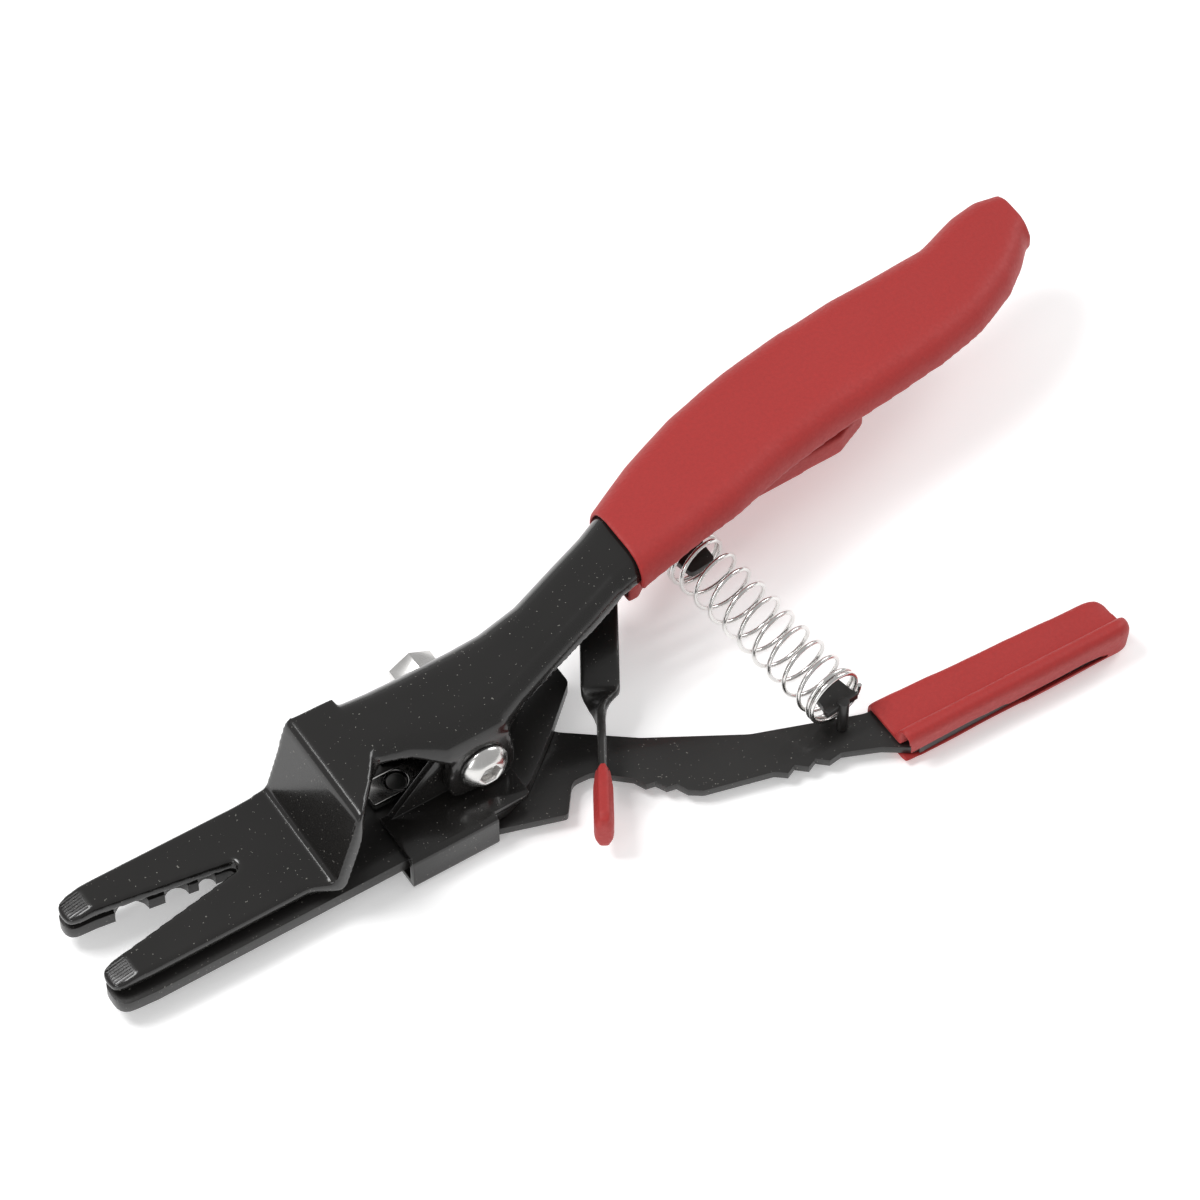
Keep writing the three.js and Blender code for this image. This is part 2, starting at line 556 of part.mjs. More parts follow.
const springStart = new THREE.Vector3(...SPRING_TOP, SPRING_Z);
const springEnd = new THREE.Vector3(...SPRING_FOOT, SPRING_Z);
const springAxis = springEnd.clone().sub(springStart).normalize();
const springSide = new THREE.Vector3(0, 0, 1).cross(springAxis).normalize();

class SpringCurve extends THREE.Curve {
  getPoint(t, target = new THREE.Vector3()) {
    const angle = t * SPRING_COILS * Math.PI * 2;
    const closed = CLOSED_COILS / SPRING_COILS;
    const open = THREE.MathUtils.clamp((t - closed) / (1 - 2 * closed), 0, 1);
    const endTurns = (Math.min(t, closed) + Math.max(0, t - 1 + closed)) / closed;
    const squeeze = CLOSED_COILS * 2.4 * SPRING_WIRE_R;
    const length = springStart.distanceTo(springEnd) - 2 * squeeze;
    return target.copy(springStart)
      .addScaledVector(springAxis, open * length + endTurns * squeeze)
      .addScaledVector(springSide, SPRING_R * Math.cos(angle))
      .add(new THREE.Vector3(0, 0, SPRING_R * Math.sin(angle)));
  }
}

function makeSpring() {
  const section = new THREE.Shape();
  section.absarc(0, 0, SPRING_WIRE_R, 0, Math.PI * 2);
  return solid(new THREE.ExtrudeGeometry(section, {
    steps: SPRING_COILS * 11, extrudePath: new SpringCurve(), curveSegments: 3, bevelEnabled: false,
  }));
}

// A tab that stands inside one end of the spring.
function springSeat(at, direction, post) {
  const inner = SPRING_R - SPRING_WIRE_R - FIT;
  const rootWidth = 4.0;
  const reach = 4.5;
  const shape = outline([
    [-rootWidth, -2.0], [rootWidth, -2.0], [rootWidth, -0.6, 0.4], [inner - 1.6, -0.6, 0.3],
    [inner - 2.2, reach, 1.2], [-inner + 2.2, reach, 1.2], [-inner + 1.6, -0.6, 0.3], [-rootWidth, -0.6, 0.4],
  ]);
  const tab = extrude(shape, 1.6).translate(0, 0, -0.8);
  const across = new THREE.Vector3(0, 0, 1).cross(direction).negate();
  const turn = new THREE.Matrix4().makeBasis(across, direction, across.clone().cross(direction));
  return solid(tab.applyMatrix4(turn).translate(at.x, at.y, at.z)).add(post);
}

// ---------------------------------------------------------------- latch

const latchAhead = new THREE.Vector3(
  Math.cos(THREE.MathUtils.degToRad(LATCH_HEADING)), Math.sin(THREE.MathUtils.degToRad(LATCH_HEADING)), 0);
const latchAcross = new THREE.Vector3(0, 0, 1).cross(latchAhead);
const LATCH_ARM_Z = HANDLE_BOTTOM - GRIP_SKIN - FIT - LATCH_SHEET / 2;
const LATCH_EDGE_Z = LEVER_TOP + 0.4 + LATCH_WIDTH / 2;

// Strip section at distance s from the latch pivot: flat at first, on edge after the twist.
function latchRing(s, grow, bevel = 0.9, capScale = 1) {
  const twist = THREE.MathUtils.smoothstep(s, 20, 27) * Math.PI / 2;
  const drop = THREE.MathUtils.smoothstep(s, 12, 26);
  const z = THREE.MathUtils.lerp(LATCH_ARM_Z, LATCH_EDGE_Z, drop);
  const narrowing = THREE.MathUtils.smoothstep(s, 21, 24) - THREE.MathUtils.smoothstep(s, 28, 34);
  const neck = 1 - 0.25 * narrowing;
  const wide = (LATCH_WIDTH / 2) * neck + grow;
  const thick = LATCH_SHEET / 2 + grow;
  const centre = new THREE.Vector3(LATCH_X, LATCH_Y, z).addScaledVector(latchAhead, s);
  const u = latchAcross.clone().multiplyScalar(Math.cos(twist)).add(new THREE.Vector3(0, 0, Math.sin(twist)));
  const v = new THREE.Vector3(0, 0, Math.cos(twist)).addScaledVector(latchAcross, -Math.sin(twist));
  const outlinePoints = [
    [-1, -bevel], [-1, bevel], [-bevel, 1], [bevel, 1], [1, bevel], [1, -bevel], [bevel, -1], [-bevel, -1],
  ];
  return outlinePoints.map(([a, b]) => centre.clone()
    .addScaledVector(u, a * wide * capScale).addScaledVector(v, b * thick * capScale)).reverse();
}

function makeLatchArm() {
  const stations = [-5, ...spaced(3, 12, 4.5), ...spaced(13, 28, 1.25), 34, LATCH_LENGTH - 1.5];
  return loft(stations.map((s) => latchRing(s, 0)))
    .subtract(upright(LATCH_RIVET_R + FIT, LATCH_X, LATCH_Y, LATCH_ARM_Z - 2, LATCH_ARM_Z + 2, 16));
}

function makeLatchTip() {
  const start = LATCH_LENGTH - LATCH_TIP_LENGTH;
  const skin = 1.2;
  const stations = [
    [start, 0.3, 1], [start + 1.2, 0.75, 1], [start + 5, skin, 1], [LATCH_LENGTH - 2, skin, 1],
    [LATCH_LENGTH - 0.5, skin, 0.88], [LATCH_LENGTH, skin, 0.6],
  ];
  const core = loft([start - 2, LATCH_LENGTH - 1.5 + SEAT].map((s) => latchRing(s, SEAT)));
  return loft(stations.map(([s, grow, scale]) => latchRing(s, grow, 0.5, scale))).subtract(core);
}

function makeLatchRivet() {
  const foot = LATCH_ARM_Z - LATCH_SHEET / 2 - SEAT;
  const head = upright(LATCH_RIVET_R + 1.2, LATCH_X, LATCH_Y, foot - 0.9, foot, 16);
  return upright(LATCH_RIVET_R, LATCH_X, LATCH_Y, foot - 0.5, HANDLE_BOTTOM + SHEET + 0.6, 16).add(head);
}

// ---------------------------------------------------------------- assembly

const group = new THREE.Group();
group.position.set(-(CLIP_FRONT_X + CLIP_REAR_X) / 2, -(CLIP_NEAR_Y + LIP_DEPTH / 2), -REST_Z);

function place(name, part, finish) {
  const mesh = part.getMesh();
  const geometry = new THREE.BufferGeometry();
  const points = new Float32Array(mesh.numVert * 3);
  for (let i = 0; i < mesh.numVert; i += 1) {
    points.set(mesh.vertProperties.subarray(i * mesh.numProp, i * mesh.numProp + 3), i * 3);
  }
  geometry.setAttribute('position', new THREE.BufferAttribute(points, 3));
  geometry.setIndex(new THREE.BufferAttribute(new Uint32Array(mesh.triVerts), 1));
  geometry.computeVertexNormals();
  const object = new THREE.Mesh(geometry, new THREE.MeshStandardMaterial(finish));
  object.name = name;
  group.add(object);
}

const bushLow = LUG_NEAR_Y + SHEET + FIT + BRACKET_SHEET + FIT;
const bushHigh = LUG_FAR_Y - SHEET - 3 * FIT - BRACKET_SHEET;
const washerLow = LUG_FAR_Y + SEAT;
const nutLow = washerLow + WASHER_SHEET + SEAT;
const latchFoot = LATCH_ARM_Z + LATCH_SHEET / 2 + SEAT;
const latchDisc = upright(3.2, LATCH_X, LATCH_Y, latchFoot, HANDLE_BOTTOM - SEAT, 16);
const latchBore = upright(LATCH_RIVET_R + SEAT, LATCH_X, LATCH_Y, latchFoot - 1, HANDLE_BOTTOM + 1, 16);
const [topX, topY] = SPRING_TOP;
const [footX, footY] = SPRING_FOOT;
const upperPost = upright(1.2, topX, topY + 2.2, SPRING_Z - 1.8, HANDLE_BOTTOM - GRIP_SKIN - SEAT, 12);
const lowerPost = upright(1.2, footX + 0.2, footY - 2.2, LEVER_TOP + SEAT, SPRING_Z + 1.8, 12);

place('upper_jaw_body', makeUpperBody(), blackPaint);
place('upper_grip', makeUpperGrip(), redVinyl);
place('lower_jaw_plate', makeLowerPlate(), satinBlack);
place('side_bracket', makeSideBracket(), blackPaint);
place('far_bracket', makeFarBracket(), blackPaint);
place('pivot_screw', makeScrew(), brightZinc);
place('pivot_washer', ringAcross(NUT_R, washerLow, washerLow + WASHER_SHEET, 24), brightZinc);
place('pivot_nut', ringAcross(NUT_R, nutLow, nutLow + NUT_HEIGHT, 6), brightZinc);
place('pivot_bush', ringAcross(BUSH_R, bushLow, bushHigh, 24), darkSteel);
place('fulcrum_bridge', makeBridge(), satinBlack);
place('fulcrum_pin', makeFulcrumPin(), darkSteel);
place('fulcrum_spacer', makeFulcrumSpacer(), darkSteel);
place('lever_plate', makeLeverPlate(), satinBlack);
place('lever_grip', makeLeverGrip(), redVinyl);
place('drive_pin', upright(DRIVE_PIN_R, FULCRUM_X, DRIVE_Y, LEVER_BOTTOM, LINK_TOP + 1.8), darkSteel);
place('link_post', upright(POST_R, POST_X, POST_Y, LOWER_BOTTOM, LINK_TOP - 0.4), darkSteel);
place('pull_link', makeLink(), brightZinc);
place('return_spring', makeSpring(), brightZinc);
place('spring_seat_upper', springSeat(springStart, springAxis, upperPost), satinBlack);
place('spring_seat_lower', springSeat(springEnd, springAxis.clone().negate(), lowerPost), satinBlack);
place('latch_arm', makeLatchArm(), satinBlack);
place('latch_tip_grip', makeLatchTip(), redVinyl);
place('latch_rivet', makeLatchRivet(), darkSteel);
place('latch_washer', latchDisc.subtract(latchBore), brightZinc);

export default group;
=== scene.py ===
# %% [markdown]
# # Hose-removal pliers
# The imported model is a fixed frame: every node is already where it belongs. This lesson gives each piece
# its fine surface and its finish. It starts by loading the frame.

# %% Load the frame
import json
from math import atan2, cos, pi, radians, sin

import bmesh
import bpy
from mathutils import Matrix, Vector, noise

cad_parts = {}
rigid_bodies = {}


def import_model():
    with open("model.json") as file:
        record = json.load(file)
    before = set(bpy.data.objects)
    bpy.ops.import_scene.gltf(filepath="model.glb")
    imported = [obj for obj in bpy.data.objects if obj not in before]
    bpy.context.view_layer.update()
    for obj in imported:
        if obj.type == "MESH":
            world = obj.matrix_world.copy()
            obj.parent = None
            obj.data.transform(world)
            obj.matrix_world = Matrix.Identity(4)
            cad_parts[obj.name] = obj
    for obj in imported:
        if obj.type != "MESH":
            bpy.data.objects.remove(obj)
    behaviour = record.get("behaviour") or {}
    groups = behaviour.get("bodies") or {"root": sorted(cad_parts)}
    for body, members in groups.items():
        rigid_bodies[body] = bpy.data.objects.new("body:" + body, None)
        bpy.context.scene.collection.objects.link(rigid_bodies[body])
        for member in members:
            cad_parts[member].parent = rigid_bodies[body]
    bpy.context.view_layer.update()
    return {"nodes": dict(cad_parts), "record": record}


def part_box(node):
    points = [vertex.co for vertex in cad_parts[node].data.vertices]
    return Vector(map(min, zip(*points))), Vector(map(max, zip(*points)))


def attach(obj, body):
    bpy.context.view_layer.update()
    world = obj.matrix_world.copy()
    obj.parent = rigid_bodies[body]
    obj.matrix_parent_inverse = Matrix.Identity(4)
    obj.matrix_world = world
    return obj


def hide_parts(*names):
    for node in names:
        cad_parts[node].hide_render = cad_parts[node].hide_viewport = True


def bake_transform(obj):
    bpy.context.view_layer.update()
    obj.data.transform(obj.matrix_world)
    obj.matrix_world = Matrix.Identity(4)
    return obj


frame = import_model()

MM = 0.001
record = frame["record"]
slot_of = {part["node"]: part["material_slot"] for part in record["subparts"]}
body_of = {n: body for body, names in record["behaviour"]["bodies"].items() for n in names}

# %% [markdown]
# ## Camera, floor and light
# The tool is looked at from its near side, a little in front, with a long lens, so that it hardly
# narrows with distance. Three soft panels and a pale world give the broad, blurred highlights that
# gloss paint and bright metal need. The camera comes first: it stands off from a point near the middle
# of the tool, along a direction given by a turn and a rise.

# %% Camera
CAMERA_TURN = radians(-32.85)
CAMERA_RISE = radians(52.8)
CAMERA_AIM = Vector((55.8, 30.87, 10.0)) * MM
CAMERA_DISTANCE = 1.0231
toward = Vector((sin(CAMERA_TURN) * cos(CAMERA_RISE),
                 -cos(CAMERA_TURN) * cos(CAMERA_RISE),
                 sin(CAMERA_RISE)))
camera = bpy.data.objects.new("camera", bpy.data.cameras.new("camera"))
camera.data.lens = 150.0
camera.data.sensor_width = 36.0
camera.data.clip_end = 20.0
camera.location = CAMERA_AIM + toward * CAMERA_DISTANCE
camera.rotation_euler = (pi / 2 - CAMERA_RISE, 0.0, CAMERA_TURN)
bpy.context.scene.collection.objects.link(camera)
bpy.context.scene.camera = camera
print("camera at", [round(v, 3) for v in camera.location])

# %% [markdown]
# ## Light
# A panel is a rectangle of light aimed at the tool. None stands where a level face would mirror it
# into the camera, because flat black paint would then turn grey.


# %% Soft panels
def soft_panel(name, place, aim, size, power):
    data = bpy.data.lights.new(name, "AREA")
    data.shape = "RECTANGLE"
    data.size, data.size_y = size
    data.energy = power
    panel = bpy.data.objects.new(name, data)
    panel.location = place
    panel.rotation_euler = (Vector(aim) - Vector(place)).to_track_quat("-Z", "Y").to_euler()
    bpy.context.scene.collection.objects.link(panel)


TOOL_MIDDLE = (0.05, 0.02, 0.0)
soft_panel("overhead", (-0.35, 0.3, 0.85), TOOL_MIDDLE, (0.35, 0.35), 5.0)
soft_panel("near_left", (-0.8, -0.35, 0.5), TOOL_MIDDLE, (0.2, 0.6), 1.6)
soft_panel("far_right", (0.85, 0.1, 0.6), TOOL_MIDDLE, (0.3, 0.5), 2.6)
bpy.context.scene.view_settings.view_transform = "Standard"

WHITE = (1.0, 1.0, 1.0, 1.0)
WORLD_STRENGTH = 0.5
world = bpy.data.worlds.new("studio")
world.use_nodes = True
background = world.node_tree.nodes["Background"]
background.inputs["Color"].default_value = WHITE
background.inputs["Strength"].default_value = WORLD_STRENGTH
bpy.context.scene.world = world
print("lights", len(bpy.data.lights))

# %% [markdown]
# ## Floor
# A plain pale sheet lies just under the tool. A little emission keeps it white out to its edges. It is
# part of the stage, not of the tool.

# %% Pale floor
FLOOR_HALF = 3.0
FLOOR_DROP = 0.5 * MM
FLOOR_GLOW = 0.28
corners = [(x * FLOOR_HALF, y * FLOOR_HALF, 0) for x, y in ((-1, -1), (1, -1), (1, 1), (-1, 1))]
floor_mesh = bpy.data.meshes.new("floor")
floor_mesh.from_pydata(corners, [], [(0, 1, 2, 3)])
floor = bpy.data.objects.new("floor", floor_mesh)
floor.location.z = -FLOOR_DROP
floor_paint = bpy.data.materials.new("floor_paint")
floor_paint.use_nodes = True
floor_shader = floor_paint.node_tree.nodes["Principled BSDF"]
floor_shader.inputs["Base Color"].default_value = (0.93, 0.93, 0.93, 1.0)
floor_shader.inputs["Roughness"].default_value = 0.9
floor_shader.inputs["Emission Color"].default_value = WHITE
floor_shader.inputs["Emission Strength"].default_value = FLOOR_GLOW
floor_mesh.materials.append(floor_paint)
bpy.context.scene.collection.objects.link(floor)
print("floor side m", 2 * FLOOR_HALF)

# %% [markdown]
# ## Shader maths
# A material is a small sum. Writing that sum as Python makes it readable, so one class wraps a node's
# socket and turns +, -, * and > into Math nodes, and one method makes any other node. A node's inputs
# are given by name, or by number where two share a name.


# %% Inputs by name or number
def fill_inputs(tree, node, settings, values):
    """Sets a new node's settings first, then gives each input a value or a link."""
    for key, value in (settings or {}).items():
        setattr(node, key, value)
    for key, value in values.items():
        by_number = key[1:].isdigit()
        target = node.inputs[int(key[1:])] if by_number else node.inputs[key.replace("_", " ")]
        if isinstance(value, bpy.types.NodeSocket):
            tree.links.new(value, target)
        else:
            target.default_value = value


print("inputs are set by one helper")

# %% [markdown]
# ## A socket that does maths
# The reflected forms are there so that a plain number can stand on the left of a sum.


# %% Sockets that do maths
class Signal:
    """A socket of a material's node tree that adds Math nodes when it is used in a sum."""

    def __init__(self, tree, socket):
        self.tree = tree
        self.socket = socket

    def node(self, kind, settings=None, out=0, **values):
        made = self.tree.nodes.new(kind)
        plain = {key: value.socket if isinstance(value, Signal) else value for key, value in values.items()}
        fill_inputs(self.tree, made, settings, plain)
        return Signal(self.tree, made.outputs[out])

    def maths(self, operation, a, b):
        return self.node("ShaderNodeMath", {"operation": operation}, i0=a, i1=b)

    def __add__(self, other):
        return self.maths("ADD", self, other)

    __radd__ = __add__

    def __mul__(self, other):
        return self.maths("MULTIPLY", self, other)

    __rmul__ = __mul__

    def __sub__(self, other):
        return self.maths("SUBTRACT", self, other)

    def __rsub__(self, other):
        return self.maths("SUBTRACT", other, self)

    def __gt__(self, level):
        return self.maths("GREATER_THAN", self, level)

    def mixed(self, low, high):
        return self.node("ShaderNodeMix", {"data_type": "RGBA"}, out=2, i0=self, i6=low, i7=high)


print("sums of sockets ready")

# %% [markdown]
# ## Starting and feeding a material
# Values that stay the same are set on the shader's own sockets. Only what changes over the surface is
# linked. Patterns read the piece's Object coordinates, in metres.


# %% Material helpers
def start_material(name, **fixed):
    material = bpy.data.materials.new(name)
    material.use_nodes = True
    shader = material.node_tree.nodes["Principled BSDF"]
    for key, value in fixed.items():
        shader.inputs[key.replace("_", " ")].default_value = value
    place = material.node_tree.nodes.new("ShaderNodeTexCoord")
    return material, shader, Signal(material.node_tree, place.outputs["Object"])


def grain(place, scale, detail=2.0, roughness=0.5):
    return place.node("ShaderNodeTexNoise", Vector=place, Scale=scale, Detail=detail, Roughness=roughness)


def feed(material, shader, **signals):
    for key, value in signals.items():
        material.node_tree.links.new(value.socket, shader.inputs[key.replace("_", " ")])
    return material


def raised(height, strength, depth):
    return height.node("ShaderNodeBump", Height=height, Strength=strength, Distance=depth)


print("shader maths ready")

# %% [markdown]
# ## Black paint
# Stove paint is very dark and slightly warm, with a clear glossy skin, faint unevenness and specks of
# dust. The pressed body and bracket are glossier than the flat plates, so one recipe takes the gloss.


# %% Black paint
def black_paint(name, tone, gloss, peel):
    material, shader, place = start_material(
        name, Metallic=0.0, IOR=1.42, Coat_Weight=0.25, Coat_Roughness=gloss * 0.5)
    cloud = grain(place, 45.0, 3.0)
    specks = grain(place, 1700.0, 1.0) > 0.745
    dark = (tone, tone * 0.93, tone * 0.88, 1.0)
    light = (tone * 1.7, tone * 1.6, tone * 1.5, 1.0)
    dusty = (0.16, 0.155, 0.14, 1.0)
    colour = specks.mixed(cloud.mixed(dark, light), dusty)
    rough = gloss + cloud * 0.10 + specks * 0.3
    height = grain(place, 260.0, 2.0) * 0.6 + grain(place, 1500.0, 1.0) * 0.4
    return feed(material, shader, Base_Color=colour, Roughness=rough, Normal=raised(height, peel, 0.0002))


gloss_black = black_paint("gloss_black_paint", 0.0085, 0.16, 0.10)
satin_black = black_paint("satin_black_paint", 0.0105, 0.34, 0.16)
print(gloss_black.name, satin_black.name)

# %% [markdown]
# ## Dipped vinyl
# The handle is dipped in liquid vinyl, which dries with an orange-peel grain, slow changes of tone and
# a soft sheen. Grain and pits share one bump.


# %% Dipped vinyl
def dipped_vinyl(name):
    material, shader, place = start_material(
        name, Metallic=0.0, IOR=1.48, Sheen_Weight=0.04, Sheen_Roughness=0.5)
    tone = grain(place, 28.0, 3.0)
    fine = grain(place, 1150.0, 2.0, 0.6)
    pits = grain(place, 430.0, 2.0)
    base = tone.mixed((0.37, 0.019, 0.017, 1.0), (0.46, 0.028, 0.025, 1.0))
    colour = ((fine - 0.5) * 0.8 + 0.35).mixed(base, (0.30, 0.018, 0.017, 1.0))
    rough = 0.46 + fine * 0.22
    height = fine * 0.6 + pits * 0.5
    return feed(material, shader, Base_Color=colour, Roughness=rough, Normal=raised(height, 0.42, 0.0003))


red_vinyl = dipped_vinyl("red_dipped_vinyl")
print(red_vinyl.name)

# %% [markdown]
# ## Bare and plated metal
# Zinc plate is a bright metal with a faint streak. Bare steel is the same recipe, darker and rougher.


# %% Metals
def plated(name, tone, low, high, scratch):
    material, shader, place = start_material(name, Metallic=1.0)
    streak = grain(place, 160.0, 4.0)
    fine = grain(place, 900.0, 2.0)
    dull = (tone * 0.72, tone * 0.71, tone * 0.69, 1.0)
    clean = (tone, tone * 0.99, tone * 0.975, 1.0)
    rough = low + streak * (high - low)
    height = fine * 0.5 + streak * 0.5
    return feed(material, shader, Base_Color=streak.mixed(dull, clean), Roughness=rough,
                Normal=raised(height, scratch, 0.0001))


bright_zinc = plated("bright_zinc_plate", 0.80, 0.12, 0.34, 0.12)
spring_zinc = plated("spring_wire_plate", 0.86, 0.10, 0.26, 0.08)
dark_steel = plated("dark_bare_steel", 0.20, 0.30, 0.55, 0.25)
finish = {"gloss_black": gloss_black, "satin_black": satin_black, "red_grip": red_vinyl,
          "bright_zinc": bright_zinc, "spring_zinc": spring_zinc, "dark_steel": dark_steel}
print("finishes", sorted(finish))

# %% [markdown]
# ## Finishes on the frame
# Each frame node gets the finish that the record names for it, so nothing keeps its flat first colour.

# %% Paint the frame
for node, obj in frame["nodes"].items():
    obj.data.materials.clear()
    obj.data.materials.append(finish[slot_of[node]])
print("nodes painted", len(slot_of))

# %% [markdown]
# ## Turning frame nodes into finished pieces
# A frame node is a shell of loose triangles. Each piece starts from a copy whose doubles are merged.
# Flat stamped plates get their coplanar triangles joined and their edges broken by a small bevel, as
# tumbling and paint do. Formed sheet and dipped vinyl are rebuilt on a fine even grid and relaxed,
# which rounds every edge the way a press or a dip does.


# %% Copies, placing and handing over
def merged_copy(node):
    mesh = bmesh.new()
    mesh.from_mesh(frame["nodes"][node].data)
    bmesh.ops.remove_doubles(mesh, verts=mesh.verts, dist=0.002 * MM)
    return mesh


def new_piece(name, mesh, material):
    data = bpy.data.meshes.new(name)
    mesh.to_mesh(data)
    mesh.free()
    data.materials.clear()
    data.materials.append(material)
    piece = bpy.data.objects.new(name, data)
    bpy.context.scene.collection.objects.link(piece)
    return piece


def baked(piece):
    """The piece with its modifiers turned into plain mesh."""
    graph = bpy.context.evaluated_depsgraph_get()
    data = bpy.data.meshes.new_from_object(piece.evaluated_get(graph))
    piece.modifiers.clear()
    piece.data = data
    return piece


def hand_over(piece, node):
    """The piece takes the node's place: the same body, and the node is replaced."""
    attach(piece, body_of[node])
    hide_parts(node)
    print(piece.name, len(piece.data.polygons), "faces")
    return piece


print("helpers for copies ready")

# %% [markdown]
# ## Stamped pieces
# Plates, brackets, pins and washers are cut or turned with flat faces. Their coplanar triangles are
# joined first, so that a bevel runs along a real edge and not across a face.


# %% Stamped pieces
SOFT_BELOW = radians(38.0)
FLAT = radians(0.6)
SHARP = radians(32.0)


def stamped(node, edge):
    mesh = merged_copy(node)
    bmesh.ops.dissolve_limit(mesh, angle_limit=FLAT, verts=mesh.verts, edges=mesh.edges)
    sharp = [e for e in mesh.edges if e.is_manifold and e.calc_face_angle() > SHARP]
    bmesh.ops.bevel(mesh, geom=sharp, offset=edge * MM, segments=2, profile=0.6, affect="EDGES",
                    clamp_overlap=True)
    for face in mesh.faces:
        face.smooth = True
    piece = new_piece(node + "_finished", mesh, finish[slot_of[node]])
    piece.data.set_sharp_from_angle(angle=SOFT_BELOW)
    return hand_over(piece, node)


EDGE_WIDTH = {
    "side_bracket": 0.22, "far_bracket": 0.2, "lower_jaw_plate": 0.25, "lever_plate": 0.2, "pull_link": 0.15,
    "pivot_nut": 0.35, "pivot_washer": 0.12, "fulcrum_bridge": 0.2, "latch_washer": 0.12, "latch_rivet": 0.25,
    "pivot_bush": 0.2, "fulcrum_pin": 0.2, "fulcrum_spacer": 0.15, "drive_pin": 0.2, "link_post": 0.3,
    "spring_seat_upper": 0.15, "spring_seat_lower": 0.15,
}
for node, edge in EDGE_WIDTH.items():
    stamped(node, edge)

# %% [markdown]
# ## Formed and dipped pieces
# Pressed sheet and dipped vinyl have no hard edge. A voxel grid gives even faces, and a few rounds of
# smoothing round every fold. A slow noise then moves each point of a dipped skin against its normal, so
# the skin never grows. A skin has two faces and both move, so this also makes its wall thinner.


# %% Formed and dipped pieces
LUMP_SPACING = 9.0 * MM


def formed(node, grid, relax, thinning=0.0):
    mesh = merged_copy(node)
    piece = new_piece(node + "_finished", mesh, finish[slot_of[node]])
    remesh = piece.modifiers.new("grid", "REMESH")
    remesh.mode = "VOXEL"
    remesh.voxel_size = grid * MM
    smooth = piece.modifiers.new("relax", "SMOOTH")
    smooth.factor = 0.5
    smooth.iterations = relax
    baked(piece)
    if thinning:
        wander = [v.normal * ((noise.noise(v.co / LUMP_SPACING) - 1.0) * thinning / 2 * MM)
                  for v in piece.data.vertices]
        for vertex, shift in zip(piece.data.vertices, wander):
            vertex.co += shift
    piece.data.polygons.foreach_set("use_smooth", [True] * len(piece.data.polygons))
    piece.data.materials.clear()
    piece.data.materials.append(finish[slot_of[node]])
    return hand_over(piece, node)


body = formed("upper_jaw_body", 0.55, 5)
formed("upper_grip", 0.6, 14, 0.3)
formed("lever_grip", 0.5, 14, 0.24)
formed("latch_tip_grip", 0.3, 12, 0.12)
formed("latch_arm", 0.36, 5)

# %% [markdown]
# ## Fork tips
# The end of each upper prong is ground to a short slope and ribbed, so that a hose cannot slide off.
# The slope only lowers points of the pressed sheet.

# %% Ground slope
JAW_GAP = 1.7 * MM
body_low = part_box("upper_jaw_body")[0]
FORK_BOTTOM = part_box("lower_jaw_plate")[1].z + JAW_GAP
FORK_SHEET = 3.0 * MM
TIP_LENGTH = 5.8 * MM
TIP_DROP = 0.5
slope_start = body_low.x + TIP_LENGTH
for vertex in body.data.vertices:
    share = min(max((slope_start - vertex.co.x) / TIP_LENGTH, 0.0), 1.0)
    if share:
        vertex.co.z = FORK_BOTTOM + (vertex.co.z - FORK_BOTTOM) * (1.0 - TIP_DROP * share)
print("tip slope starts at mm", round(slope_start / MM, 1))

# %% [markdown]
# ## Trees of Geometry Nodes
# What repeats or follows a path is made by a tree with named sizes. The builder ends every tree in
# Realize Instances and Set Material, sets the sizes by their identifiers, and returns plain mesh.


# %% Tree builder
class Tree:
    """A Geometry Nodes tree with named number inputs and one geometry output."""

    def __init__(self, name, *inputs):
        self.tree = bpy.data.node_groups.new(name, "GeometryNodeTree")
        self.tree.interface.new_socket("Geometry", in_out="OUTPUT", socket_type="NodeSocketGeometry")
        self.ids = {}
        for label in inputs:
            made = self.tree.interface.new_socket(label, in_out="INPUT", socket_type="NodeSocketFloat")
            self.ids[label] = made.identifier
        self.given = self.tree.nodes.new("NodeGroupInput").outputs
        self.end = self.tree.nodes.new("NodeGroupOutput").inputs[0]

    def add(self, kind, settings=None, **values):
        node = self.tree.nodes.new(kind)
        fill_inputs(self.tree, node, settings, values)
        return node.outputs[0]

    def maths(self, operation, a, b=0.0):
        return self.add("ShaderNodeMath", {"operation": operation}, i0=a, i1=b)

    def grow(self, name, shape, material, **sizes):
        """Ends the tree with shape, and returns what it makes as a plain mesh object."""
        real = self.add("GeometryNodeRealizeInstances", Geometry=shape)
        self.tree.links.new(self.add("GeometryNodeSetMaterial", Geometry=real, Material=material), self.end)
        piece = bpy.data.objects.new(name, bpy.data.meshes.new(name))
        bpy.context.scene.collection.objects.link(piece)
        modifier = piece.modifiers.new("tree", "NODES")
        modifier.node_group = self.tree
        for label, value in sizes.items():
            modifier[self.ids[label.replace("_", " ")]] = value
        bpy.context.view_layer.update()
        return baked(piece)


print("tree builder ready")

# %% [markdown]
# ## Ribs on the tips
# One bar is set out along a line across the tip. The row is made once, at the origin.

# %% One row of ribs
RIB_COUNT = 7
RIB_PITCH = 0.68 * MM
RIB_LENGTH = 4.4 * MM
RIB_THICK = 0.3 * MM


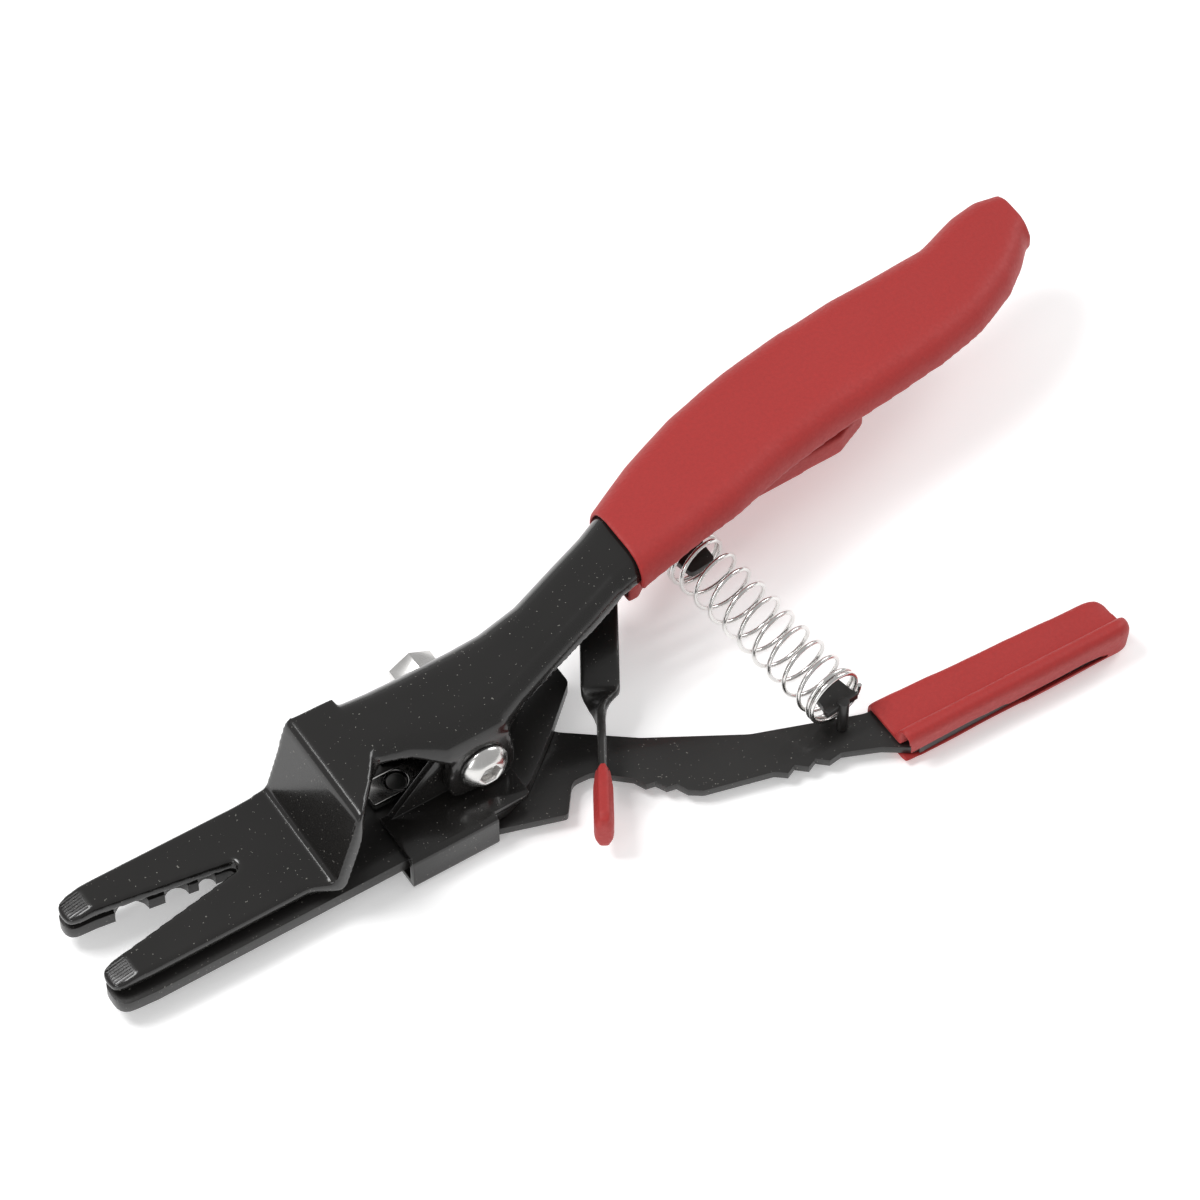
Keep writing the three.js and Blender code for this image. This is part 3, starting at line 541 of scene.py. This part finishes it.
def rib_row():
    ribs = Tree("tip_ribs", "Pitch", "Length", "Width", "Height")
    step = ribs.add("ShaderNodeCombineXYZ", Y=ribs.given["Pitch"])
    line = ribs.add("GeometryNodeMeshLine", Count=RIB_COUNT, Offset=step)
    size = ribs.add("ShaderNodeCombineXYZ", X=ribs.given["Length"], Y=ribs.given["Width"],
                    Z=ribs.given["Height"])
    bar = ribs.add("GeometryNodeMeshCube", Size=size)
    row = ribs.add("GeometryNodeInstanceOnPoints", Points=line, Instance=bar)
    return ribs.grow("tip_ribs", row, gloss_black, Pitch=RIB_PITCH, Length=RIB_LENGTH, Width=RIB_THICK,
                     Height=RIB_THICK)


ribs = rib_row()
print("ribs in a row", len(ribs.data.polygons) // 6)

# %% [markdown]
# ## Both tips
# The row is copied to each prong and turned to lie in the ground slope, a little over half sunk.

# %% Lay the rows on the slopes
PRONG_MIDDLES = (4.65 * MM, 22.85 * MM)
RIB_MIDDLE = 3.0 * MM          # behind the fork's tip
SHARE_AT_MIDDLE = 0.48         # of the slope's drop, under the middle of a rib
SINK = 0.02 * MM
facet_turn = Matrix.Rotation(-atan2(TIP_DROP * FORK_SHEET, TIP_LENGTH), 4, "Y")
facet_height = FORK_BOTTOM + FORK_SHEET * (1.0 - TIP_DROP * SHARE_AT_MIDDLE) - SINK
centred = Matrix.Translation((0.0, -(RIB_COUNT - 1) * RIB_PITCH / 2, 0.0))
row_mesh = bmesh.new()
for middle in PRONG_MIDDLES:
    copy = ribs.data.copy()
    copy.transform(Matrix.Translation((body_low.x + RIB_MIDDLE, middle, facet_height)) @ facet_turn @ centred)
    row_mesh.from_mesh(copy)
row_mesh.to_mesh(ribs.data)
row_mesh.free()
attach(ribs, "handle")
print("ribs", len(ribs.data.polygons) // 6)

# %% [markdown]
# ## Pivot screw
# The pivot is a button-head screw: a low dome with a six-sided socket, a round shank through both
# lugs, and a nut behind. It is turned as rings of points round its axis. The socket's rings use the
# distance to a hexagon's side in place of a constant radius.

# %% Rings of the screw
SIDES = 72
HEAD_HEIGHT = 3.3 * MM
HEX_R = 2.35


def hex_reach(angle):
    return HEX_R * cos(pi / 6) / cos((angle % (pi / 3)) - pi / 6)


def ring_points(reach, depth, six, axis, seat):
    for i in range(SIDES):
        angle = 2 * pi * i / SIDES
        far = (hex_reach(angle) + reach if six else reach) * MM
        yield axis.x + far * cos(angle), seat + depth * MM, axis.z + far * sin(angle)


print("socket across its corners mm", 2 * HEX_R)

# %% [markdown]
# ## The screw's profile
# Each ring gives a reach in mm, a depth from the head's seat in mm, and whether it is six-sided. The
# reach is a radius, or what is added to the hexagon where the ring is six-sided. The list runs from the
# shank's end, over the dome, and down into the socket.

# %% Turn the screw
screw_low, screw_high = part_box("pivot_screw")
screw_axis = (screw_low + screw_high) / 2
seat = screw_low.y + HEAD_HEIGHT
shank = (screw_high.y - seat) / MM
rings = [
    (0.01, shank, False), (2.5, shank, False), (2.95, shank - 0.45, False), (2.95, 0.1, False),
    (4.9, 0.0, False), (5.15, -0.1, False), (5.25, -0.35, False), (5.25, -0.7, False), (5.05, -1.2, False),
    (4.65, -1.8, False), (4.05, -2.4, False), (3.35, -2.9, False), (2.95, -3.1, False),
    (0.32, -3.18, True), (0.12, -3.12, True), (0.0, -2.95, True), (0.0, -1.3, True), (-0.15, -1.2, True),
    (-1.2, -0.9, True),
]
print("rings", len(rings))

# %% [markdown]
# ## Skin of the screw
# Neighbouring rings are joined by four-sided faces and both ends are closed.

# %% Skin the rings
screw_mesh = bmesh.new()
grid = [[screw_mesh.verts.new(point) for point in ring_points(*ring, screw_axis, seat)] for ring in rings]
for lower, upper in zip(grid, grid[1:]):
    for i in range(SIDES):
        j = (i + 1) % SIDES
        screw_mesh.faces.new((lower[i], lower[j], upper[j], upper[i]))
screw_mesh.faces.new(grid[0])
screw_mesh.faces.new(grid[-1])
bmesh.ops.recalc_face_normals(screw_mesh, faces=screw_mesh.faces)
for face in screw_mesh.faces:
    face.smooth = True
screw = new_piece("pivot_screw_turned", screw_mesh, bright_zinc)
screw.data.set_sharp_from_angle(angle=radians(40.0))
hand_over(screw, "pivot_screw")

# %% [markdown]
# ## Return spring
# A compression spring has a few closed turns at each end and open turns between. Geometry Nodes make
# it from a line: each point gets an angle from its place along the line, and the wire is swept on it.


# %% Wind the spring
CLOSED_PITCH = 2.3             # wire radii for each closed turn
LINE_POINTS = 760
WIRE_SIDES = 12


def wind_spring(**sizes):
    wind = Tree("return_spring", "Turns", "Coil Radius", "Wire Radius", "Length", "Closed Turns")
    given = wind.given
    line = wind.add("GeometryNodeCurvePrimitiveLine", End=(0.0, 0.0, 1.0))
    fine = wind.add("GeometryNodeResampleCurve", Curve=line, Count=LINE_POINTS)
    along = wind.tree.nodes.new("GeometryNodeSplineParameter").outputs["Factor"]
    turn = wind.maths("MULTIPLY", wind.maths("MULTIPLY", along, given["Turns"]), 2 * pi)
    closed = wind.maths("DIVIDE", given["Closed Turns"], given["Turns"])
    rest = wind.maths("SUBTRACT", 1.0, closed)
    pitch = wind.maths("MULTIPLY", given["Wire Radius"], CLOSED_PITCH)
    pad = wind.maths("MULTIPLY", pitch, given["Closed Turns"])
    first = wind.maths("MINIMUM", wind.maths("DIVIDE", along, closed), 1.0)
    last = wind.maths("DIVIDE", wind.maths("MAXIMUM", wind.maths("SUBTRACT", along, rest), 0.0), closed)
    middle = wind.add("ShaderNodeMapRange", Value=along, i1=closed, i2=rest)
    open_length = wind.maths("SUBTRACT", given["Length"], wind.maths("MULTIPLY", pad, 2.0))
    ends = wind.maths("MULTIPLY", wind.maths("ADD", first, last), pad)
    height = wind.maths("ADD", ends, wind.maths("MULTIPLY", middle, open_length))
    x = wind.maths("MULTIPLY", wind.maths("COSINE", turn), given["Coil Radius"])
    y = wind.maths("MULTIPLY", wind.maths("SINE", turn), given["Coil Radius"])
    point = wind.add("ShaderNodeCombineXYZ", X=x, Y=y, Z=height)
    coil = wind.add("GeometryNodeSetPosition", Geometry=fine, Position=point)
    ring = wind.add("GeometryNodeCurvePrimitiveCircle", Resolution=WIRE_SIDES, Radius=given["Wire Radius"])
    wire = wind.add("GeometryNodeCurveToMesh", Curve=coil, i1=ring, Fill_Caps=True)
    return wind.grow("return_spring_wire", wire, spring_zinc, **sizes)


print("spring tree ready")

# %% [markdown]
# ## Laying the spring
# The spring's line runs between the two seats. It is wound along +Z and then turned onto that line.

# %% Lay the spring between its seats
low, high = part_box("return_spring")
wire_radius = 0.5 * MM
coil_radius = (high.z - low.z) / 2 - wire_radius
centre_height = (high.z + low.z) / 2
# The coil's own tilt makes its box longer than the line between its two ends.
spring_start = Vector((77.3 * MM, 30.05 * MM, centre_height))
spring_end = Vector((81.7 * MM, -16.75 * MM, centre_height))
holder = wind_spring(Turns=13.0, Coil_Radius=coil_radius, Wire_Radius=wire_radius,
                     Length=(spring_end - spring_start).length, Closed_Turns=2.0)
holder.data.transform(Matrix.Translation(spring_start)
                      @ (spring_end - spring_start).to_track_quat("Z", "Y").to_matrix().to_4x4())
holder.data.polygons.foreach_set("use_smooth", [True] * len(holder.data.polygons))
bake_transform(holder)
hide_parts("return_spring")
print("spring length mm", round((spring_end - spring_start).length / MM, 1))
